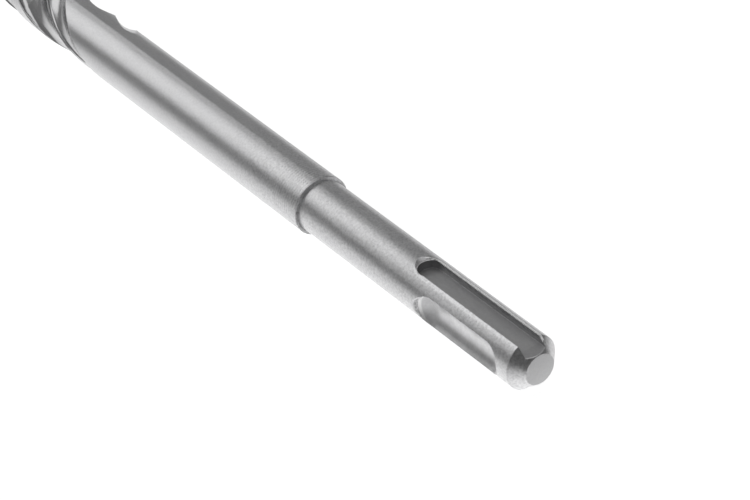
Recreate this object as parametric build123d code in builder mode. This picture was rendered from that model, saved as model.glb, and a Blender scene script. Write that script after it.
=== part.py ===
from build123d import *
from math import acos, cos, degrees, radians, sin, sqrt, tan
import os

# Masonry drill bit with a grooved shank, lying along X.
# The origin is the centre of the shank's end face, and the cutting tip points to +X.
# The open grooves of the shank face +Z and -Z, and the closed ones face +Y and -Y.
# The bit rests on the collar and on the lower end of the tip's plate, which stands upright.
# Lengths are in millimetres and angles in degrees. Angles about the bit run from +Y to +Z.

# Whole bit
overall_length = 260.0
drill_diameter = 12.0
body_relief = 0.4

# Shank
shank_diameter = 10.0
shank_length = 60.2
end_face_diameter = 5.75
end_chamfer_length = 2.35
collar_chamfer = 0.08

# Open grooves: flat floor, rounded at the collar side, run out through the shank end
open_groove_width = 4.1
open_groove_floor = 2.95
open_groove_length = 30.3

# Closed grooves: round floor and ball-shaped ends
closed_groove_width = 6.2
closed_groove_radius = 3.8
closed_groove_start = 5.0
closed_groove_end = 26.6

# Ramp pressed into the rim of each groove at its collar side
ramp_length = 0.9
ramp_depth = 0.6

# Flutes: each has a wide main channel and a shallow side channel, parted by a low ridge
flute_count = 2
flute_lead = 50.0
flute_start = 122.0
flute_start_angle = 119.4
side_channel_depth = 1.2
side_channel_radius = 10.0
side_channel_runout = 15.0
main_channel_depth = 2.3
main_channel_radius = 16.4
main_channel_runout = 20.0
main_channel_delay = 9.5
main_channel_offset = 51.5
shortest_straightening = 13.0

# Carbide tip: a plate across the head, ground to a roof point
tip_thickness = 3.5
tip_height = 9.0
tip_angle = 90.0
tip_point_angle = 130.0
tip_relief_angle = 20.0
tip_set_back = 8.0
nose_set_back = 1.6
braze_clearance = 0.05

# Values worked out from the sizes above
shank_radius = shank_diameter / 2
drill_radius = drill_diameter / 2
body_radius = drill_radius - body_relief
point_slope = 1 / tan(radians(tip_point_angle / 2))
relief_slope = tan(radians(tip_relief_angle))
nose_apex = overall_length - nose_set_back
nose_start = nose_apex - body_radius * point_slope
tip_seat = overall_length - tip_height
turn_per_mm = 360 / flute_lead
flute_spacing = 360 / flute_count

# The cutting shapes reach this far past the surface that they cut
overcut = 1.5
cutter_radius = body_radius + overcut

# A run-out is lofted through this many sections, the first this far above the surface
loft_sections = 5
runout_lift = 0.075


def half_opening(depth, radius):
    """Half the angle that a channel of this depth and radius opens in the body."""
    centre = body_radius - depth + radius
    cosine = (body_radius**2 + centre**2 - radius**2) / (2 * body_radius * centre)
    return degrees(acos(min(cosine, 1)))


# The flutes straighten over the length that brings a land in line with the tip's plate
main_opening = 2 * half_opening(main_channel_depth, main_channel_radius)
land_angle = flute_start_angle - main_channel_offset - main_opening - tip_set_back
longest_turn = turn_per_mm * (tip_seat - flute_start - shortest_straightening / 2)
spare_turn = (longest_turn + land_angle - tip_angle) % flute_spacing
straighten_length = shortest_straightening + 2 * spare_turn / turn_per_mm
straighten_start = tip_seat - straighten_length


def flute_turn(x):
    """Angle that the flutes turn through between their start and x."""
    steady = min(x, straighten_start) - flute_start
    easing = min(max(x - straighten_start, 0), straighten_length)
    return turn_per_mm * (steady + easing - easing**2 / (2 * straighten_length))


def channel_section(x, depth, radius, edge_angle):
    """Section of a channel at x, which opens from edge_angle back against the turn."""
    middle = radians(edge_angle + flute_turn(x) - half_opening(depth, radius))
    centre = body_radius - depth + radius
    with BuildSketch(Plane.YZ.offset(x)) as section:
        with Locations((centre * cos(middle), centre * sin(middle))):
            Circle(radius)
        Circle(cutter_radius, mode=Mode.INTERSECT)
    return section.sketch


def cut_channel(start, runout, depth, radius, edge_angle):
    """Cut a channel: its run-out, its helix, the stretch that straightens, the head."""
    full_start = start + runout
    steps = [number / (loft_sections - 1) for number in range(loft_sections)]

    # The run-out rises to just above the surface, and its edge stays on the helix
    rising = []
    for step in steps:
        lift = (depth + runout_lift) * (1 - step) ** 2
        rising.append(channel_section(start + runout * step, depth - lift, radius, edge_angle))
    loft(sections=rising, mode=Mode.SUBTRACT)

    path = Edge.make_line((full_start, 0, 0), (straighten_start, 0, 0))
    guide = Edge.make_helix(
        flute_lead, straighten_start - full_start, body_radius, (full_start, 0, 0), (1, 0, 0)
    )
    sweep(sections=rising[-1], path=path, binormal=guide, mode=Mode.SUBTRACT)

    easing = [
        channel_section(straighten_start + straighten_length * step, depth, radius, edge_angle)
        for step in steps
    ]
    loft(sections=easing, mode=Mode.SUBTRACT)
    extrude(easing[-1], amount=tip_height + overcut, mode=Mode.SUBTRACT)


def cut_ramp(side, centre, inner_radius):
    """Cut the sloping rim around the end of a groove that opens on one side's plane."""
    rim = side.offset(shank_radius - ramp_depth)
    with Locations(rim.location * Location((centre, 0, 0))):
        Cone(
            bottom_radius=inner_radius,
            top_radius=inner_radius + 2 * ramp_length,
            height=2 * ramp_depth,
            align=(Align.CENTER, Align.CENTER, Align.MIN),
            mode=Mode.SUBTRACT,
        )


with BuildPart() as drill_body:
    # Bar with the shank's end chamfer, the collar step and the ground nose
    with BuildSketch(Plane.XZ):
        with BuildLine():
            Polyline(
                (0, 0),
                (0, end_face_diameter / 2),
                (end_chamfer_length, shank_radius),
                (shank_length, shank_radius),
                (shank_length, body_radius - collar_chamfer),
                (shank_length + collar_chamfer, body_radius),
                (nose_start, body_radius),
                (nose_apex, 0),
                close=True,
            )
        make_face()
    revolve(axis=Axis.X)

    # Open grooves
    open_end = open_groove_length - open_groove_width / 2
    for turn in (0, 180):
        side = Plane.XY.rotated((turn, 0, 0))
        with BuildSketch(side.offset(open_groove_floor)):
            with Locations(((open_end - open_groove_width) / 2, 0)):
                SlotCenterToCenter(open_end + open_groove_width, open_groove_width)
        extrude(amount=shank_radius, mode=Mode.SUBTRACT)
        cut_ramp(side, open_end, open_groove_width / 2)

    # Closed grooves, each cut by a bar with ball ends that lies outside the shank's axis
    half_width = closed_groove_width / 2
    edge_height = sqrt(shank_radius**2 - half_width**2)
    groove_axis = edge_height + sqrt(closed_groove_radius**2 - half_width**2)
    rim_reach = sqrt(closed_groove_radius**2 - (groove_axis - shank_radius) ** 2)
    ramp_height = groove_axis - (shank_radius - ramp_depth)
    ramp_reach = sqrt(closed_groove_radius**2 - ramp_height**2)
    ball_start = closed_groove_start + rim_reach
    ball_end = closed_groove_end - ramp_reach
    for turn in (90, 270):
        side = Plane.XY.rotated((turn, 0, 0))
        pocket = Plane(side.offset(groove_axis).origin, x_dir=side.x_dir, z_dir=side.y_dir)
        with BuildSketch(pocket):
            with Locations(((ball_start + ball_end) / 2, 0)):
                SlotCenterToCenter(ball_end - ball_start, 2 * closed_groove_radius)
                Rectangle(
                    ball_end - ball_start + 2 * closed_groove_radius,
                    closed_groove_radius,
                    align=(Align.CENTER, Align.MIN),
                    mode=Mode.INTERSECT,
                )
        revolve(axis=Axis(pocket.origin, pocket.x_dir), mode=Mode.SUBTRACT)
        cut_ramp(side, ball_end, ramp_reach)

    # Flutes
    main_start = flute_start + main_channel_delay
    for flute in range(flute_count):
        edge = flute_start_angle + flute_spacing * flute
        cut_channel(
            flute_start, side_channel_runout, side_channel_depth, side_channel_radius, edge
        )
        cut_channel(
            main_start,
            main_channel_runout,
            main_channel_depth,
            main_channel_radius,
            edge - main_channel_offset,
        )

    # Slot for the carbide tip, across the two lands at the head
    with BuildSketch(Plane.YZ.offset(tip_seat)):
        Rectangle(2 * cutter_radius, tip_thickness + 2 * braze_clearance, rotation=tip_angle)
    extrude(amount=tip_height, mode=Mode.SUBTRACT)

drill_body.part.label = "drill_body"

with BuildPart() as carbide_tip:
    with BuildSketch(Plane.YZ.offset(tip_seat)):
        Rectangle(drill_diameter, tip_thickness, rotation=tip_angle)
        Circle(drill_radius, mode=Mode.INTERSECT)
    extrude(amount=tip_height)

    # Two planes make the roof, each high at its leading cutting edge
    across = Vector(0, cos(radians(tip_angle)), sin(radians(tip_angle)))
    through = Vector(0, -sin(radians(tip_angle)), cos(radians(tip_angle)))
    lean = across * point_slope - through * relief_slope
    for facing in (lean, -lean):
        roof = Plane((overall_length, 0, 0), z_dir=Vector(1, 0, 0) + facing)
        split(bisect_by=roof, keep=Keep.BOTTOM)

carbide_tip.part.label = "carbide_tip"

os.makedirs("parts", exist_ok=True)
export_step(drill_body.part, "parts/drill_body.step")
export_step(carbide_tip.part, "parts/carbide_tip.step")
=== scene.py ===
from math import cos, pi, radians, sin

import bmesh
import bpy
from bpy.props import FloatProperty, FloatVectorProperty, PointerProperty
from mathutils import Matrix, Vector


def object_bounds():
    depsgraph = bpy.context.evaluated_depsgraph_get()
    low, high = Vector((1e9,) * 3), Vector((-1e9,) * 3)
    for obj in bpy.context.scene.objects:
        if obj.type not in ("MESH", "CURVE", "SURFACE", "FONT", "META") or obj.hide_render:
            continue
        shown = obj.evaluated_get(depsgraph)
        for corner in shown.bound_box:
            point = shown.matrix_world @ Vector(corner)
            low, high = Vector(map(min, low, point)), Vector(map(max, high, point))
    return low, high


bl_info = {
    "name": "Masonry drill bit finish",
    "version": (1, 0, 0),
    "blender": (4, 5, 0),
    "location": "3D View > Sidebar > Drill Bit",
    "description": "Satin steel, ground carbide, braze and a plain studio for a masonry drill bit",
    "category": "Object",
}

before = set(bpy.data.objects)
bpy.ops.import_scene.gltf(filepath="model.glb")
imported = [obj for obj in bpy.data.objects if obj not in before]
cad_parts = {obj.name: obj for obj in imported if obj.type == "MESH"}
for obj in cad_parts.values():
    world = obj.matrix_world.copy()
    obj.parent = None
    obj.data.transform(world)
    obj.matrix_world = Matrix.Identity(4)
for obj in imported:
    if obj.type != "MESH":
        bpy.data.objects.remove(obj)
cad_low, cad_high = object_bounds()

MM = 0.001
SENSOR_WIDTH = 36.0

# A pair below says where a mask is 0 and where it is 1, in mm unless its comment says otherwise.
# Four numbers say where a mask leaves 0, reaches 1, leaves 1 and is 0 again.

# A border between two surfaces is this soft
BORDER = 0.01

# Depth below the bar's surface at which a groove or a flute begins
GROOVE_DEPTH = (0.05, 0.2)

# Distance outside an open groove's outline. Its lip slopes down to LIP_REACH.
OPEN_WALL = (0.12, 0.04)
OPEN_RAMP = (0.02, 0.12)
# The lip also carries a painted highlight in its colour
OPEN_LIP = (0.7, 0.5)
# A dark line beyond the lip, which is painted shadow
OPEN_SHADOW_LINE = (0.6, 0.75, 0.9, 1.15)
# The burr round the ramp's inner edge is raised, and also lighter as a painted highlight
OPEN_BURR = (0.0, 0.12, 0.16, 0.3)
LIP_REACH = 0.55

# Past the centre of an open groove's round end
BURR_START = (0.0, 0.6)

# Height above an open groove's floor, and above the bit's middle
FLOOR_FOOT = (-0.2, -0.1)
FLOOR_TOP = (0.15, 0.03)
OPEN_RIM = (3.6, 3.8)

# The side of an open groove that the drive key presses on, as y times z in mm squared
DRIVEN_SIDE = (-1, -3)

# The rim towards -Y, whose dark painted shadow line is broken where the grain's noise is low
FAR_SIDE = (-1, -2)
BROKEN_SHADOW_LINE = (-0.15, 0.1)

# A closed groove, beside and above the bit's middle, along it, and round its ball end
CLOSED_BESIDE = (2.1, 2.25)
CLOSED_ABOVE = (3.4, 3.2)
CLOSED_RAMP_BESIDE = (4.3, 4.42)
CLOSED_RAMP_ALONG = (25.0, 25.6)
CLOSED_END = (22.6, 24.6)
BALL_START = (0.0, 0.4)
CRESCENT = (3.25, 3.4)
# A painted highlight along the seam where the ball end begins
SEAM_HIGHLIGHT = (3.05, 3.17, 3.3, 3.42)

# Along the bit: the part near the shank's end that is lighter, and where the grain's tone fades
LIGHTER_END = (32, 24)
SMOOTHER = (66, 92)

# Lathe lines: how far past the collar and above the bit's middle they show
TURNED_NECK = (13, 2)
TURNED_TOP = (-1, 3)

# Their spacing in mm, how far noise shifts them, and how much it parts strong ones from weak
RING_SPACING = 0.6
RING_WANDER = 7.0
RING_CONTRAST = 3
RING_STRENGTH = 0.5

# The same lines on the chamfer and on the end face, as shares of those on the neck
TURNED_CHAMFER = 0.5
FACE_RING_SHARE = 0.15
FACE_RING_SPACING = 0.3

# Height above the bit's middle at which the collar's face gets a painted highlight over its painted
# shade
FACE_HIGHLIGHT = (1, 4)

# Foot of a channel's steep wall, as a share of the channel's half width from its middle
WALL_FOOT = 0.6

# Border of a channel, as a sine of the angle, and where in its run-out the wall rises, as shares
WALL_BORDER = (0.0, 0.03)
WALL_RISE = (0.3, 0.9)

# Place along the bit where the ground nose ends the walls
NOSE_BORDER = (256, 255.5)

# Least square of a run-out's share of the full width, which keeps it above 0
LEAST_SHARE = 0.02

# How finely the lines in the flutes lie round the bit and towards its middle
LINES_ROUND = 14
LINES_DEEP = 2

# Distance from the tip's slot, and how far noise shifts it
BRAZED = (0.45, 0.2)
HEATED = (8, 1)
BRAZE_WANDER = 0.5

# How much a place along the bit counts in a noise that is drawn out, where 1 is not at all
STRETCH = 0.22
LONG_STRETCH = 0.08

# The noise below which there is no pit, and above which a pit has its whole depth
PITTED = (0.08, 0.26)

# How much each mask and noise of the steel adds to its brightness, where 1 is the plain steel
STEEL_SHADE = {
    "even_mottle": 0.18,
    "grain_specks": 0.95,
    "pit_specks": -0.17,
    "turned_rings": 0.16,
    # Lighter towards the shank's end
    "lighter_shank_end": 0.07,
    # Painted highlight on the lip along an open groove's rim
    "lip_and_highlight": 0.06,
    # Painted shadow lines beyond the lip, darkest on the rim towards -Y
    "line": -0.06,
    "far_shadow_line": -0.35,
    # Painted highlight on the burr round an open groove's ramp
    "burr_and_highlight": 0.35,
    # The open groove is darker inside, and painted shade keeps its walls darker than its floor
    "in_open": -0.36,
    "on_floor": 0.13,
    "in_closed": 0.03,
    "blotched": 0.4,
    # Painted highlight along a closed groove's seam
    "seam": 0.4,
    "crescent": -0.08,
    "ramps": -0.12,
    # The collar's face: painted shade over it all, and a painted highlight on its top part
    "on_face": -0.35,
    "face_top_highlight": 0.55,
    # Painted shade that dims the end face and the chamfer
    "on_end_face": -0.08,
    "on_chamfer": -0.05,
    # Painted shade in the hollow flutes
    "in_flute": -0.1,
    "flute_lines": 0.08,
    "heated": -0.12,
}

# How much less green and blue the steel has than red
GREEN_LOSS = {"heated": 0.01}
BLUE_LOSS = {"heated": 0.03, "mottle": 0.02}

# How much each mask and noise adds to the steel's roughness
STEEL_ROUGHNESS = {
    "mottle": 0.08,
    "grain": 0.05,
    "in_open": 0.12,
    "lip_and_highlight": -0.03,
    "driven": -0.09,
    "closed_end": 0.3,
    "on_face": 0.25,
    "in_flute": -0.1,
}

# Share of the blasted grain that a groove or a flute loses, and share of its tone that fades
GRAIN_LOST = 0.8
COARSE_LOST = 0.65

# Share of the mottle that the end face lacks, and depth of a pit beside the grain's height
END_FACE_EVEN = 0.7
PIT_DEPTH = 0.4

# Carbide: how finely its grinding lines lie along X, Y and Z
GROUND_ALONG = 0.3
GROUND_BESIDE = 0.4
GROUND_ACROSS = 5

# Heights of its grinding lines and grain, in mm, and their shares of its tone
GROUND_HEIGHT = 0.004
CARBIDE_GRAIN_HEIGHT = 0.003
GROUND_SHADE = 0.15
CARBIDE_GRAIN_SHADE = 0.2
CARBIDE_GRAIN_ROUGHNESS = 0.15

# The floor's mesh, and the directions in which the room brightens, where 1 is straight along
FLOOR_RINGS = 40
FLOOR_SPOKES = 96
ROOM_AHEAD = (-0.7, 0.5)
ROOM_ASIDE = (-0.2, -0.6)


class Number:
    """A socket that carries one number, so that shader maths reads as plain arithmetic."""

    def __init__(self, finish, socket):
        self.finish = finish
        self.socket = socket

    def maths(self, operation, *values):
        return self.finish.maths(operation, *values)

    def __add__(self, other):
        return self.maths("ADD", self, other)

    def __radd__(self, other):
        return self.maths("ADD", other, self)

    def __sub__(self, other):
        return self.maths("SUBTRACT", self, other)

    def __rsub__(self, other):
        return self.maths("SUBTRACT", other, self)

    def __mul__(self, other):
        return self.maths("MULTIPLY", self, other)

    def __rmul__(self, other):
        return self.maths("MULTIPLY", other, self)

    def __truediv__(self, other):
        return self.maths("DIVIDE", self, other)

    def __rtruediv__(self, other):
        return self.maths("DIVIDE", other, self)

    def __pow__(self, other):
        return self.maths("POWER", self, other)

    def __rpow__(self, other):
        return self.maths("POWER", other, self)


class Finish:
    """A shader tree, with one method that adds any node and a few that read as words."""

    def __init__(self, tree):
        self.tree = tree
        self.tree.nodes.clear()

    def node(self, kind, settings=None, inputs=None):
        """Add a node of this kind, set its settings first and then feed its inputs."""
        added = self.tree.nodes.new(kind)
        for name, value in (settings or {}).items():
            setattr(added, name, value)
        for name, value in (inputs or {}).items():
            self.feed(added.inputs[name], value)
        return added

    def feed(self, socket, value):
        """Link a number or a socket to this socket, or set the socket's own value."""
        if isinstance(value, Number):
            value = value.socket
        if isinstance(value, bpy.types.NodeSocket):
            self.tree.links.new(value, socket)
        else:
            socket.default_value = value

    def maths(self, operation, *values):
        settings = {"operation": operation}
        added = self.node("ShaderNodeMath", settings, dict(enumerate(values)))
        return Number(self, added.outputs["Value"])

    def larger(self, first, second):
        return self.maths("MAXIMUM", first, second)

    def smaller(self, first, second):
        return self.maths("MINIMUM", first, second)

    def size_of(self, value):
        return self.maths("ABSOLUTE", value)

    def distance(self, first, second):
        """Distance of a point whose two coordinates these are."""
        return self.maths("SQRT", first * first + second * second)

    def step(self, value, start, end):
        """0 where value is at start, 1 where it is at end, with soft ends."""
        added = self.node(
            "ShaderNodeMapRange",
            {"interpolation_type": "SMOOTHSTEP", "clamp": True},
            {"Value": value, "From Min": start, "From Max": end},
        )
        return Number(self, added.outputs["Result"])

    def band(self, value, start, full, fading, end):
        """1 where value is between full and fading, 0 below start and above end."""
        return self.step(value, start, full) * self.step(value, end, fading)

    def noise(self, vector, scale, detail=2.0, roughness=0.5):
        """Noise about zero, from about -0.5 to 0.5, at this many waves for each unit."""
        added = self.node(
            "ShaderNodeTexNoise",
            {"noise_dimensions": "3D"},
            {"Vector": vector, "Scale": scale, "Detail": detail, "Roughness": roughness},
        )
        return Number(self, added.outputs["Fac"]) - 0.5

    def vector(self, x, y, z):
        added = self.node("ShaderNodeCombineXYZ", None, {"X": x, "Y": y, "Z": z})
        return added.outputs["Vector"]

    def numbers(self, vector, names="XYZ"):
        """The coordinates of a vector, as numbers."""
        split = self.node("ShaderNodeSeparateXYZ", None, {"Vector": vector})
        return [Number(self, split.outputs[name]) for name in names]

    def point_in_mm(self):
        """The point's place in the frame of the bit, in mm."""
        coordinates = self.node("ShaderNodeTexCoord").outputs["Object"]
        scaled = self.node(
            "ShaderNodeVectorMath", {"operation": "SCALE"}, {0: coordinates, "Scale": 1 / MM}
        )
        return scaled.outputs["Vector"]

    def blend(self, factor, first, second):
        """Mix two colours by a factor."""
        added = self.node(
            "ShaderNodeMix",
            {"data_type": "RGBA", "blend_type": "MIX"},
            {"Factor": factor, 6: first, 7: second},
        )
        return added.outputs[2]

    def tinted(self, colour, red, green, blue):
        """A colour with each of its parts multiplied by a number."""
        added = self.node(
            "ShaderNodeVectorMath",
            {"operation": "MULTIPLY"},
            {0: self.vector(red, green, blue), 1: colour},
        )
        return added.outputs["Vector"]

    def bumped(self, height, normal=None):
        """The normal of a surface with this height, in mm."""
        inputs = {"Strength": 1.0, "Distance": MM, "Height": height}
        if normal is not None:
            inputs["Normal"] = normal
        return self.node("ShaderNodeBump", None, inputs).outputs["Normal"]

    def metal(self, colour, roughness, normal):
        """End the tree with a metal surface."""
        shader = self.node(
            "ShaderNodeBsdfPrincipled",
            None,
            {
                "Base Color": colour,
                "Metallic": 1.0,
                "Roughness": roughness,
                "Normal": normal,
            },
        )
        self.node("ShaderNodeOutputMaterial", None, {"Surface": shader.outputs["BSDF"]})


class BitSizes(bpy.types.PropertyGroup):
    """Sizes of the bit that the finishes follow."""

    collar: FloatProperty(
        name="Collar", description="Distance of the collar from the shank's end, in mm",
        default=60.2, min=1.0,
    )
    chamfer_length: FloatProperty(
        name="Chamfer length", description="Length of the shank's end chamfer, in mm",
        default=2.35, min=0.1,
    )
    end_face_radius: FloatProperty(
        name="End face radius", description="Radius of the shank's flat end face, in mm",
        default=2.875, min=0.1,
    )
    shank_radius: FloatProperty(
        name="Shank radius", description="Radius of the shank, in mm", default=5.0, min=0.1,
    )
    body_radius: FloatProperty(
        name="Body radius", description="Radius of the neck and the lands, in mm",
        default=5.6, min=0.1,
    )
    open_centre: FloatProperty(
        name="Open groove end", description="Where the round end of an open groove has its centre",
        default=28.25, min=1.0,
    )
    open_half_width: FloatProperty(
        name="Open groove half width", description="Half the width of an open groove, in mm",
        default=2.05, min=0.1,
    )
    open_floor: FloatProperty(
        name="Open groove floor", description="Height of an open groove's floor, in mm",
        default=2.95, min=0.1,
    )
    closed_centre: FloatProperty(
        name="Closed groove end", description="Where the ball end of a closed groove begins",
        default=23.2, min=1.0,
    )


class FluteSizes(bpy.types.PropertyGroup):
    """Sizes of the flutes and of the slot for the carbide tip."""

    lead: FloatProperty(
        name="Lead", description="Length in which the flutes turn once, in mm",
        default=50.0, min=1.0,
    )
    straight_start: FloatProperty(
        name="Straightening start", description="Where the flutes begin to straighten, in mm",
        default=227.5, min=1.0,
    )
    straight_length: FloatProperty(
        name="Straightening length", description="Length in which the flutes straighten, in mm",
        default=23.5, min=1.0,
    )
    main_edge: FloatProperty(
        name="Main edge", description="Angle of a main channel's edge, turned back to x = 0",
        subtype="ANGLE", default=radians(89.5),
    )
    main_half_angle: FloatProperty(
        name="Main half angle", description="Half the angle that a main channel opens",
        subtype="ANGLE", default=radians(47.0),
    )
    main_start: FloatProperty(
        name="Main start", description="Where the main channels begin, in mm", default=131.5,
    )
    main_runout: FloatProperty(
        name="Main run-out", description="Length of a main channel's run-out, in mm",
        default=20.0, min=0.1,
    )
    main_wall: FloatProperty(
        name="Main wall",
        description="Depth that scales the steep wall on a main channel's tip side, in mm",
        default=0.8,
    )
    side_edge: FloatProperty(
        name="Side edge", description="Angle of a side channel's edge, turned back to x = 0",
        subtype="ANGLE", default=radians(141.0),
    )
    side_half_angle: FloatProperty(
        name="Side half angle",
        description="Half the angle from a side channel's edge to the ridge",
        subtype="ANGLE", default=radians(27.0),
    )
    side_start: FloatProperty(
        name="Side start", description="Where the side channels begin, in mm", default=122.0,
    )
    side_runout: FloatProperty(
        name="Side run-out", description="Length of a side channel's run-out, in mm",
        default=15.0, min=0.1,
    )
    side_wall: FloatProperty(
        name="Side wall",
        description="Depth that scales the steep wall on a side channel's tip side, in mm",
        default=0.7,
    )
    seat: FloatProperty(
        name="Tip seat", description="Distance of the carbide tip's seat from the shank's end",
        default=251.0, min=1.0,
    )
    slot_half_width: FloatProperty(
        name="Slot half width", description="Half the width of the carbide tip's slot, in mm",
        default=1.8, min=0.1,
    )


class SteelSettings(bpy.types.PropertyGroup):
    """Finish of the steel body."""

    colour: FloatVectorProperty(
        name="Colour", description="Base colour of the steel", subtype="COLOR",
        size=3, default=(0.735, 0.735, 0.742), min=0.0, max=1.0,
    )
    braze: FloatVectorProperty(
        name="Braze", description="Colour of the braze beside the carbide tip", subtype="COLOR",
        size=3, default=(0.74, 0.64, 0.43), min=0.0, max=1.0,
    )
    roughness: FloatProperty(
        name="Roughness", description="Roughness of the blasted surface",
        default=0.34, min=0.0, max=1.0, subtype="FACTOR",
    )
    edge_radius: FloatProperty(
        name="Edge radius", description="Rounding of the body's edges, in mm",
        default=0.2, min=0.0,
    )
    grain_height: FloatProperty(
        name="Grain height", description="Height of the blasted grain, in mm",
        default=0.022, min=0.0,
    )
    wave_height: FloatProperty(
        name="Wave height", description="Height of the shallow waves in the bar, in mm",
        default=0.03, min=0.0,
    )
    lip_slope: FloatProperty(
        name="Lip slope", description="Slope of the raised lip beside a groove's driven flank",
        default=0.3, min=0.0,
    )
    burr_height: FloatProperty(
        name="Burr height", description="Height of the raised lip round a groove's ramp, in mm",
        default=0.1, min=0.0,
    )
    turning_height: FloatProperty(
        name="Turning height", description="Height of the lathe and flute lines, in mm",
        default=0.004, min=0.0,
    )


class CarbideSettings(bpy.types.PropertyGroup):
    """Finish of the carbide tip."""

    colour: FloatVectorProperty(
        name="Colour", description="Base colour of the carbide", subtype="COLOR",
        size=3, default=(0.36, 0.36, 0.375), min=0.0, max=1.0,
    )
    roughness: FloatProperty(
        name="Roughness", description="Roughness of the ground faces",
        default=0.36, min=0.0, max=1.0, subtype="FACTOR",
    )


class StudioSettings(bpy.types.PropertyGroup):
    """Camera, floor and lights."""

    camera_place: FloatVectorProperty(
        name="Camera", description="Place of the camera, in mm", size=3,
        default=(-299.82, 208.49, 313.21),
    )
    camera_aim: FloatVectorProperty(
        name="Aim", description="Point that the camera looks at, in mm", size=3,
        default=(43.97, 0.47, -0.31),
    )
    camera_roll: FloatProperty(
        name="Roll", description="Turn of the camera about its line of sight", subtype="ANGLE",
        default=radians(8.60),
    )
    lens: FloatProperty(
        name="Lens", description="Focal length, in mm, on a sensor 36 mm wide", default=144.6,
    )
    softbox_azimuth: FloatProperty(
        name="Softbox azimuth", description="Direction of the softbox from +X towards +Y",
        subtype="ANGLE", default=radians(12.5),
    )
    softbox_elevation: FloatProperty(
        name="Softbox elevation", description="Height of the softbox above the horizon",
        subtype="ANGLE", default=radians(34.2),
    )
    softbox_roll: FloatProperty(
        name="Softbox roll", description="Turn of the softbox about the line to the bit",
        subtype="ANGLE", default=radians(23.0),
    )
    softbox_distance: FloatProperty(
        name="Softbox distance", description="Distance of the softbox", unit="LENGTH", default=2.5,
    )
    softbox_width: FloatProperty(
        name="Softbox width", description="Width of the softbox", unit="LENGTH", default=2.0,
    )
    softbox_height: FloatProperty(
        name="Softbox height", description="Height of the softbox", unit="LENGTH", default=1.7,
    )
    softbox_glow: FloatProperty(
        name="Softbox glow", description="Brightness of the softbox, where 1 is white", default=0.8,
    )
    overhead_height: FloatProperty(
        name="Overhead height", description="Height of the lamp above", unit="LENGTH", default=2.0,
    )
    overhead_shift: FloatProperty(
        name="Overhead shift", description="How far the lamp above lies towards -Y",
        unit="LENGTH", default=0.3,
    )
    overhead_size: FloatProperty(
        name="Overhead size", description="Width of the lamp above", unit="LENGTH", default=1.6,
    )
    overhead_glow: FloatProperty(
        name="Overhead glow", description="Brightness of the lamp above", default=0.75,
    )
    floor_radius: FloatProperty(
        name="Floor radius", description="Radius of the floor", unit="LENGTH", default=6.0,
    )
    floor_colour: FloatVectorProperty(
        name="Floor", description="Colour of the floor", subtype="COLOR", size=3,
        default=(0.55, 0.55, 0.55), min=0.0, max=1.0,
    )
    floor_glow: FloatProperty(
        name="Floor glow", description="Light that the white floor adds to its own shading",
        default=0.87,
    )
    floor_shine: FloatProperty(
        name="Floor shine", description="Light of the floor beside the bit in its mirror image",
        default=0.62,
    )
    floor_fade: FloatProperty(
        name="Floor fade",
        description="Distance at which the floor's glow on the bit is halved, in mm",
        default=70.0,
    )
    floor_shift: FloatProperty(
        name="Floor shift", description="How far the glow's middle lies towards -Y, in mm",
        default=10.0,
    )
    floor_end_fade: FloatProperty(
        name="Floor end fade", description="How much faster the glow fades past the shank's end",
        default=5.5,
    )
    near_glow: FloatProperty(
        name="Near glow", description="Extra glow of the floor right beside the bit",
        default=0.55,
    )
    near_fade: FloatProperty(
        name="Near fade", description="Distance at which the extra glow is halved, in mm",
        default=6.0,
    )
    near_shift: FloatProperty(
        name="Near shift", description="How far the extra glow's middle lies towards +Y, in mm",
        default=1.5,
    )
    room_glow: FloatProperty(
        name="Room glow", description="Brightness of the room beyond the tip", default=0.25,
    )
    room_side: FloatProperty(
        name="Room side", description="Extra brightness of the room towards -Y", default=0.06,
    )
    room_shade: FloatProperty(
        name="Room shade", description="Brightness of the room behind the camera", default=0.11,
    )


class BitPlace:
    """Where a point of the bit lies: along it, round it and below its bar's surface, in mm."""

    def __init__(self, finish, sizes):
        self.finish = finish
        self.point = finish.point_in_mm()
        self.x, self.y, self.z = finish.numbers(self.point)
        self.radius = finish.distance(self.y, self.z)
        self.angle = finish.maths("ARCTAN2", self.z, self.y)
        self.beside = finish.size_of(self.y)
        self.above = finish.size_of(self.z)

        self.on_neck = finish.step(self.x, sizes.collar - BORDER, sizes.collar + BORDER)
        self.on_shank = 1 - self.on_neck
        self.on_end_face = finish.step(self.x, 2 * BORDER, BORDER)
        chamfer_end = sizes.chamfer_length
        self.on_chamfer = finish.step(self.x, chamfer_end + 2 * BORDER, chamfer_end)
        from_collar = finish.size_of(self.x - sizes.collar)
        self.on_face = finish.step(from_collar, 3 * BORDER, BORDER)

        slope = (sizes.shank_radius - sizes.end_face_radius) / sizes.chamfer_length
        cone = finish.smaller(self.x * slope + sizes.end_face_radius, sizes.shank_radius)
        bar = cone + self.on_neck * (sizes.body_radius - sizes.shank_radius)
        self.in_groove = finish.step(bar - self.radius, *GROOVE_DEPTH)
        self.on_bar = 1 - self.in_groove
        self.pressed = self.on_shank * self.in_groove
        self.in_flute = self.on_neck * self.in_groove

    def stretched(self, share):
        """The point, with its noise drawn out along the bit."""
        return self.finish.vector(self.x * share, self.y, self.z)


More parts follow.
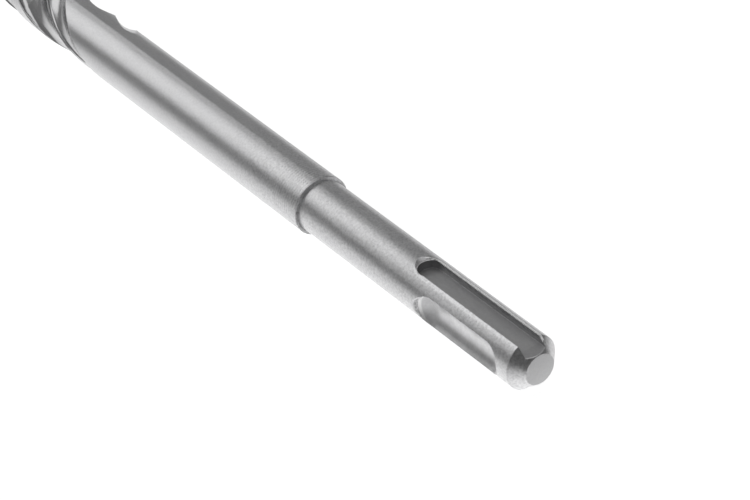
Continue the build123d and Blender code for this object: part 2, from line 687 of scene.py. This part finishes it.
class SteelLook:
    """The masks and noises of the steel, each by its name in the tables at the top."""

    def __init__(self, finish, sizes, flutes):
        self.finish = finish
        self.place = BitPlace(finish, sizes)
        self.on_face = self.place.on_face
        self.on_end_face = self.place.on_end_face
        self.on_chamfer = self.place.on_chamfer
        self.in_flute = self.place.in_flute
        self.add_noises()
        self.add_open_grooves(sizes)
        self.add_closed_grooves(sizes)
        self.add_wear(sizes)
        self.add_flutes(sizes, flutes)
        self.add_braze(flutes)

    def total(self, shares):
        """The sum of the named masks and noises, each multiplied by its share."""
        return sum(getattr(self, name) * share for name, share in shares.items())

    def add_noises(self):
        finish = self.finish
        place = self.place
        self.grain = finish.noise(place.point, scale=2.2, detail=3.0, roughness=0.65)
        hollows = finish.noise(place.point, scale=2.4, detail=2.0, roughness=0.6)
        self.pits = finish.step(hollows, *PITTED)
        drawn_out = place.stretched(STRETCH)
        self.waves = finish.noise(drawn_out, scale=0.45, detail=1.0, roughness=0.5)
        self.mottle = finish.noise(drawn_out, scale=0.9, detail=3.0, roughness=0.55)
        self.even_mottle = self.mottle * (1 - place.on_end_face * END_FACE_EVEN)

    def add_open_grooves(self, sizes):
        """Flat floor and walls, the ramp with its burr, and the lip along the rim. The groove is
        darker inside, with painted shade on its walls; painted highlights lie on the lip and the
        burr, and a painted shadow line lies beyond the lip.
        """
        finish = self.finish
        place = self.place
        from_centre = place.x - sizes.open_centre
        past_centre = finish.larger(from_centre, 0)
        outside = finish.distance(past_centre, place.y) - sizes.open_half_width
        round_end = finish.distance(from_centre, place.y) - sizes.open_half_width
        over_floor = place.above - sizes.open_floor

        in_slot = place.pressed * finish.step(outside, *OPEN_WALL)
        # Darker inside the groove, with painted shade on the walls that the floor's mask lifts off
        # the floor
        self.in_open = in_slot * finish.step(over_floor, *FLOOR_FOOT)
        self.on_floor = self.in_open * finish.step(over_floor, *FLOOR_TOP)

        over_open = place.on_shank * finish.step(place.above, *OPEN_RIM)
        self.open_ramp = over_open * place.in_groove * finish.step(round_end, *OPEN_RAMP)
        burr_start = finish.step(from_centre, *BURR_START)
        # The burr is raised in the height, and lighter in colour as a painted highlight
        self.burr_and_highlight = finish.band(round_end, *OPEN_BURR) * over_open * burr_start

        on_rim = over_open * place.on_bar
        driven_side = finish.step(place.y * place.z, *DRIVEN_SIDE)
        far_side = finish.step(place.y, *FAR_SIDE)
        # The lip: smoother, and a painted highlight in its colour
        self.lip_and_highlight = on_rim * finish.step(outside, *OPEN_LIP)
        # Painted shadow lines beyond the lip
        self.line = on_rim * finish.band(outside, *OPEN_SHADOW_LINE)
        self.far_shadow_line = self.line * far_side * finish.step(self.grain, *BROKEN_SHADOW_LINE)
        self.driven = self.lip_and_highlight * driven_side
        self.raised = finish.larger(LIP_REACH - outside, 0) * on_rim * driven_side

    def add_closed_grooves(self, sizes):
        """Blotched round floor, with a crescent and a painted highlight along the seam where the
        ball end begins.
        """
        finish = self.finish
        place = self.place
        in_reach = finish.step(place.beside, *CLOSED_BESIDE)
        self.in_closed = place.pressed * in_reach * finish.step(place.above, *CLOSED_ABOVE)
        blotches = finish.noise(place.point, scale=0.55, detail=3.0, roughness=0.6)
        self.blotched = self.in_closed * blotches
        self.closed_end = self.in_closed * finish.step(place.x, *CLOSED_END)

        past_centre = place.x - sizes.closed_centre
        round_end = finish.distance(past_centre, place.z)
        past_ball = self.in_closed * finish.step(past_centre, *BALL_START)
        self.crescent = past_ball * finish.step(round_end, *CRESCENT)
        # A painted highlight along the seam
        self.seam = past_ball * finish.band(round_end, *SEAM_HIGHLIGHT)

        ramp_beside = finish.step(place.beside, *CLOSED_RAMP_BESIDE)
        closed_ramp = place.pressed * ramp_beside * finish.step(place.x, *CLOSED_RAMP_ALONG)
        self.ramps = self.open_ramp + closed_ramp

    def add_wear(self, sizes):
        """Blasted grain, lathe lines, and a lighter part near the shank's end."""
        finish = self.finish
        place = self.place
        kept = (self.ramps + self.crescent) * GRAIN_LOST
        self.blasted = 1 - place.in_groove * GRAIN_LOST + kept
        seen_grain = self.blasted * (1 - finish.step(place.x, *SMOOTHER) * COARSE_LOST)
        self.grain_specks = self.grain * seen_grain
        self.pit_specks = self.pits * seen_grain
        self.lighter_shank_end = place.on_shank * place.on_bar * finish.step(place.x, *LIGHTER_END)

        far, near = TURNED_NECK
        near_collar = place.on_neck * finish.step(place.x, sizes.collar + far, sizes.collar + near)
        turned_neck = near_collar * finish.step(place.z, *TURNED_TOP)
        turned_chamfer = place.on_chamfer * place.on_bar * TURNED_CHAMFER
        turned = finish.larger(turned_neck, turned_chamfer)
        drawn_out = place.stretched(LONG_STRETCH)
        long_noise = finish.noise(drawn_out, scale=2.2, detail=2.0, roughness=0.5)
        rings = finish.maths("SINE", place.x * (2 * pi / RING_SPACING) + long_noise * RING_WANDER)
        self.rings = rings * turned
        self.turned_rings = self.rings * (long_noise * RING_CONTRAST + RING_STRENGTH)
        face_rings = finish.maths("SINE", place.radius * (2 * pi / FACE_RING_SPACING))
        self.face_rings = face_rings * place.on_end_face
        # A painted highlight on the top of the collar's face
        self.face_top_highlight = place.on_face * finish.step(place.z, *FACE_HIGHLIGHT)

    def add_flutes(self, sizes, flutes):
        """Lines along the helix, and the steep wall on each channel's tip side."""
        finish = self.finish
        place = self.place
        steady = finish.smaller(place.x, flutes.straight_start)
        easing = finish.larger(place.x - flutes.straight_start, 0)
        easing = finish.smaller(easing, flutes.straight_length)
        turned_length = steady + easing - easing * easing / (2 * flutes.straight_length)
        self.twist = place.angle - turned_length * (2 * pi / flutes.lead)

        along_flute = finish.vector(
            finish.maths("COSINE", self.twist) * LINES_ROUND,
            finish.maths("SINE", self.twist) * LINES_ROUND,
            place.radius * LINES_DEEP,
        )
        lines = finish.noise(along_flute, scale=1.5, detail=3.0, roughness=0.6)
        self.flute_lines = lines * place.in_flute

        main_channel = self.channel(
            flutes.main_edge, flutes.main_half_angle, flutes.main_start, flutes.main_runout,
            sizes.body_radius,
        )
        side_channel = self.channel(
            flutes.side_edge, flutes.side_half_angle, flutes.side_start, flutes.side_runout,
            sizes.body_radius,
        )
        walls = main_channel * flutes.main_wall + side_channel * flutes.side_wall
        self.walls = walls * place.in_flute

    def channel(self, edge, half_angle, start, runout, body_radius):
        """Height across a channel, from 0 at its edges to about -0.8 where its steep wall ends."""
        finish = self.finish
        place = self.place

        # In the run-out the channel is narrower, and its edge stays on the helix
        left = finish.larger((start + runout - place.x) / runout, 0)
        share = finish.maths("SQRT", finish.larger(1 - left * left, LEAST_SHARE))
        half = share * half_angle
        from_middle = self.twist - edge + half

        # The sign of the cosine makes both flutes alike
        sine = finish.maths("SINE", from_middle)
        side = finish.maths("SIGN", finish.maths("COSINE", from_middle))
        across = sine * side * place.radius / (finish.maths("SINE", half) * body_radius)
        wall = finish.larger(-WALL_FOOT - across, 0)
        rise = wall * wall / (1 - WALL_FOOT) ** 2 - 1 + (across + 1) / 2

        inside = finish.maths("SINE", half) - finish.size_of(sine)
        shown = finish.step(inside, *WALL_BORDER)
        first, last = WALL_RISE
        shown = shown * finish.step(place.x, start + first * runout, start + last * runout)
        shown = shown * finish.step(place.x, *NOSE_BORDER)
        return finish.smaller(rise, 0) * shown

    def add_braze(self, flutes):
        """Braze and heat tint beside the slot, with a ragged edge."""
        finish = self.finish
        place = self.place
        to_slot = finish.larger(place.beside - flutes.slot_half_width, 0)
        to_seat = finish.larger(flutes.seat - place.x, 0)
        ragged = finish.noise(place.point, scale=0.8, detail=3.0, roughness=0.6) * BRAZE_WANDER
        from_slot = finish.distance(to_slot, to_seat) + ragged
        self.brazed = finish.step(from_slot, *BRAZED)
        self.heated = finish.step(from_slot, *HEATED)

    def height(self, steel):
        """Height of the steel's surface above its solid, in mm."""
        grain = (self.grain - self.pits * PIT_DEPTH) * self.blasted
        lathe_lines = self.rings + self.face_rings * FACE_RING_SHARE + self.flute_lines
        return (
            grain * steel.grain_height
            + self.waves * steel.wave_height
            + lathe_lines * steel.turning_height
            + self.burr_and_highlight * steel.burr_height
            + self.walls
            + self.raised * steel.lip_slope
        )


def new_finish(name):
    """A material with an empty node tree, and the tree's builder."""
    material = bpy.data.materials.new(name)
    material.use_nodes = True
    return material, Finish(material.node_tree)


def put_on(piece, material):
    """Give the piece this one material."""
    piece.data.materials.clear()
    piece.data.materials.append(material)


def steel_material(sizes, flutes, steel):
    """Finely blasted bar, turned at its collar, with pressed grooves, flutes and braze."""
    material, finish = new_finish("satin_steel")
    look = SteelLook(finish, sizes, flutes)
    rounded = finish.node("ShaderNodeBevel", {"samples": 6}, {"Radius": steel.edge_radius * MM})
    normal = finish.bumped(look.height(steel), rounded.outputs["Normal"])
    shade = 1 + look.total(STEEL_SHADE)
    green = shade - look.total(GREEN_LOSS)
    blue = shade - look.total(BLUE_LOSS)
    metal = finish.blend(look.brazed, (*steel.colour, 1.0), (*steel.braze, 1.0))
    colour = finish.tinted(metal, shade, green, blue)
    finish.metal(colour, steel.roughness + look.total(STEEL_ROUGHNESS), normal)
    return material


def carbide_material(carbide):
    """Hard grey plate, ground in fine lines across its cutting edges."""
    material, finish = new_finish("ground_carbide")
    point = finish.point_in_mm()
    x, y, z = finish.numbers(point)
    drawn_out = finish.vector(x * GROUND_ALONG, y * GROUND_BESIDE, z * GROUND_ACROSS)
    lines = finish.noise(drawn_out, scale=1.6, detail=3.0, roughness=0.6)
    grain = finish.noise(point, scale=6.0, detail=2.0, roughness=0.6)
    normal = finish.bumped(lines * GROUND_HEIGHT + grain * CARBIDE_GRAIN_HEIGHT)
    shade = 1 + grain * CARBIDE_GRAIN_SHADE + lines * GROUND_SHADE
    colour = finish.tinted(tuple(carbide.colour), shade, shade, shade)
    finish.metal(colour, carbide.roughness + grain * CARBIDE_GRAIN_ROUGHNESS, normal)
    return material


def mesh_piece(name, shape):
    """An object from a bmesh, which is freed."""
    mesh = bpy.data.meshes.new(name)
    shape.to_mesh(mesh)
    shape.free()
    piece = bpy.data.objects.new(name, mesh)
    bpy.context.scene.collection.objects.link(piece)
    return piece


def round_floor(name, radius, height):
    """A round sheet of rings and spokes, with its outer rings widely spaced."""
    shape = bmesh.new()
    middle = shape.verts.new((0, 0, height))
    turns = [2 * pi * spoke / FLOOR_SPOKES for spoke in range(FLOOR_SPOKES)]
    inner = None
    for ring in range(1, FLOOR_RINGS + 1):
        reach = radius * (ring / FLOOR_RINGS) ** 2
        outer = [shape.verts.new((reach * cos(turn), reach * sin(turn), height)) for turn in turns]
        for spoke in range(FLOOR_SPOKES):
            beyond = (spoke + 1) % FLOOR_SPOKES
            if inner is None:
                shape.faces.new((middle, outer[spoke], outer[beyond]))
            else:
                shape.faces.new((inner[spoke], outer[spoke], outer[beyond], inner[beyond]))
        inner = outer
    return mesh_piece(name, shape)


def panel_lamp(name, shape, width, height, glow):
    """A flat lamp, where a glow of 1 is white."""
    lamp = bpy.data.lights.new(name, "AREA")
    lamp.shape = shape
    lamp.size = width
    lamp.size_y = height
    lamp.energy = glow * width * height * pi
    light = bpy.data.objects.new(name, lamp)
    bpy.context.scene.collection.objects.link(light)
    return light


class DRILLBIT_OT_steel_body(bpy.types.Operator):
    """Give the steel body its satin finish"""

    bl_idname = "drillbit.steel_body"
    bl_label = "Steel body"

    def execute(self, context):
        scene = context.scene
        steel = steel_material(scene.drillbit_sizes, scene.drillbit_flutes, scene.drillbit_steel)
        put_on(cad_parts["drill_body"], steel)
        return {"FINISHED"}


class DRILLBIT_OT_carbide_tip(bpy.types.Operator):
    """Give the carbide tip its ground finish"""

    bl_idname = "drillbit.carbide_tip"
    bl_label = "Carbide tip"

    def execute(self, context):
        put_on(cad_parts["carbide_tip"], carbide_material(context.scene.drillbit_carbide))
        return {"FINISHED"}


class DRILLBIT_OT_studio(bpy.types.Operator):
    """Set the floor, the lights and the camera"""

    bl_idname = "drillbit.studio"
    bl_label = "Studio"

    def execute(self, context):
        studio = context.scene.drillbit_studio
        self.lay_floor(studio)
        self.hang_softbox(studio)
        self.hang_overhead(studio)
        self.fill_room(context, studio)
        self.place_camera(context, studio)
        context.scene.view_settings.view_transform = "Standard"
        return {"FINISHED"}

    def lay_floor(self, studio):
        """White to the camera, and brightest beside the bit to the steel that mirrors it."""
        floor = round_floor("floor", studio.floor_radius, cad_low.z)
        material, finish = new_finish("pale_floor")
        coordinates = finish.node("ShaderNodeTexCoord").outputs["Object"]
        x, y = finish.numbers(coordinates, "XY")
        past_end = finish.larger(x * -studio.floor_end_fade, 0)
        reach = finish.distance(y + studio.floor_shift * MM, past_end)
        wide = 1 / (1 + (reach / (studio.floor_fade * MM)) ** 2)
        from_bit = finish.distance(y - studio.near_shift * MM, past_end)
        near = studio.near_glow / (1 + (from_bit / (studio.near_fade * MM)) ** 2)
        path = finish.node("ShaderNodeLightPath")
        seen, mirrored, through = (
            Number(finish, path.outputs[name])
            for name in ("Is Camera Ray", "Is Glossy Ray", "Is Transmission Ray")
        )
        shine = (mirrored + through) * (wide + near) * studio.floor_shine
        glow = finish.node(
            "ShaderNodeEmission", None, {"Strength": seen * studio.floor_glow + shine}
        )
        diffuse = finish.node(
            "ShaderNodeBsdfDiffuse", None, {"Color": (*studio.floor_colour, 1.0)}
        )
        both = finish.node(
            "ShaderNodeAddShader", None, {0: diffuse.outputs["BSDF"], 1: glow.outputs["Emission"]}
        )
        finish.node("ShaderNodeOutputMaterial", None, {"Surface": both.outputs["Shader"]})
        put_on(floor, material)

    def hang_softbox(self, studio):
        """The main light, beyond the tip and above it."""
        softbox = panel_lamp(
            "softbox", "RECTANGLE", studio.softbox_width, studio.softbox_height, studio.softbox_glow
        )
        level = cos(studio.softbox_elevation)
        towards = Vector(
            (
                level * cos(studio.softbox_azimuth),
                level * sin(studio.softbox_azimuth),
                sin(studio.softbox_elevation),
            )
        )
        facing = towards.to_track_quat("Z", "Y").to_matrix().to_4x4()
        roll = Matrix.Rotation(studio.softbox_roll, 4, "Z")
        place = Matrix.Translation(towards * studio.softbox_distance)
        softbox.matrix_world = place @ facing @ roll

    def hang_overhead(self, studio):
        """A soft light straight above."""
        size = studio.overhead_size
        overhead = panel_lamp("overhead", "SQUARE", size, size, studio.overhead_glow)
        overhead.location = (0, -studio.overhead_shift, studio.overhead_height)

    def fill_room(self, context, studio):
        """A dim room, darker on the side of the shank's end."""
        world = bpy.data.worlds.new("room")
        world.use_nodes = True
        context.scene.world = world
        finish = Finish(world.node_tree)
        direction = finish.node("ShaderNodeTexCoord").outputs["Generated"]
        x, y = finish.numbers(direction, "XY")
        ahead = finish.step(x, *ROOM_AHEAD)
        aside = finish.step(y, *ROOM_ASIDE)
        strength = studio.room_shade + ahead * (studio.room_glow - studio.room_shade)
        strength = strength + ahead * aside * studio.room_side
        background = finish.node("ShaderNodeBackground", None, {"Strength": strength})
        finish.node("ShaderNodeOutputWorld", None, {"Surface": background.outputs["Background"]})

    def place_camera(self, context, studio):
        lens = bpy.data.cameras.new("camera")
        lens.sensor_width = SENSOR_WIDTH
        lens.lens = studio.lens
        lens.clip_start = 0.01
        lens.clip_end = 20.0
        camera = bpy.data.objects.new("camera", lens)
        context.scene.collection.objects.link(camera)
        place = Vector(studio.camera_place) * MM
        aim = Vector(studio.camera_aim) * MM
        level = (aim - place).to_track_quat("-Z", "Y").to_matrix().to_4x4()
        roll = Matrix.Rotation(-studio.camera_roll, 4, "Z")
        camera.matrix_world = Matrix.Translation(place) @ level @ roll
        context.scene.camera = camera


class DRILLBIT_PT_panel(bpy.types.Panel):
    """Panel that lists the steps"""

    bl_label = "Drill Bit"
    bl_space_type = "VIEW_3D"
    bl_region_type = "UI"
    bl_category = "Drill Bit"

    def draw(self, context):
        for step in STEPS:
            self.layout.operator(step.bl_idname)


SETTINGS = {
    "drillbit_sizes": BitSizes,
    "drillbit_flutes": FluteSizes,
    "drillbit_steel": SteelSettings,
    "drillbit_carbide": CarbideSettings,
    "drillbit_studio": StudioSettings,
}
STEPS = (DRILLBIT_OT_steel_body, DRILLBIT_OT_carbide_tip, DRILLBIT_OT_studio)


def register():
    for group in SETTINGS.values():
        bpy.utils.register_class(group)
    for step in STEPS:
        bpy.utils.register_class(step)
    bpy.utils.register_class(DRILLBIT_PT_panel)
    for name, group in SETTINGS.items():
        setattr(bpy.types.Scene, name, PointerProperty(type=group))


def unregister():
    for name in SETTINGS:
        delattr(bpy.types.Scene, name)
    bpy.utils.unregister_class(DRILLBIT_PT_panel)
    for step in reversed(STEPS):
        bpy.utils.unregister_class(step)
    for group in reversed(SETTINGS.values()):
        bpy.utils.unregister_class(group)


def main():
    register()
    bpy.ops.drillbit.steel_body()
    bpy.ops.drillbit.carbide_tip()
    bpy.ops.drillbit.studio()


if __name__ == "__main__":
    main()
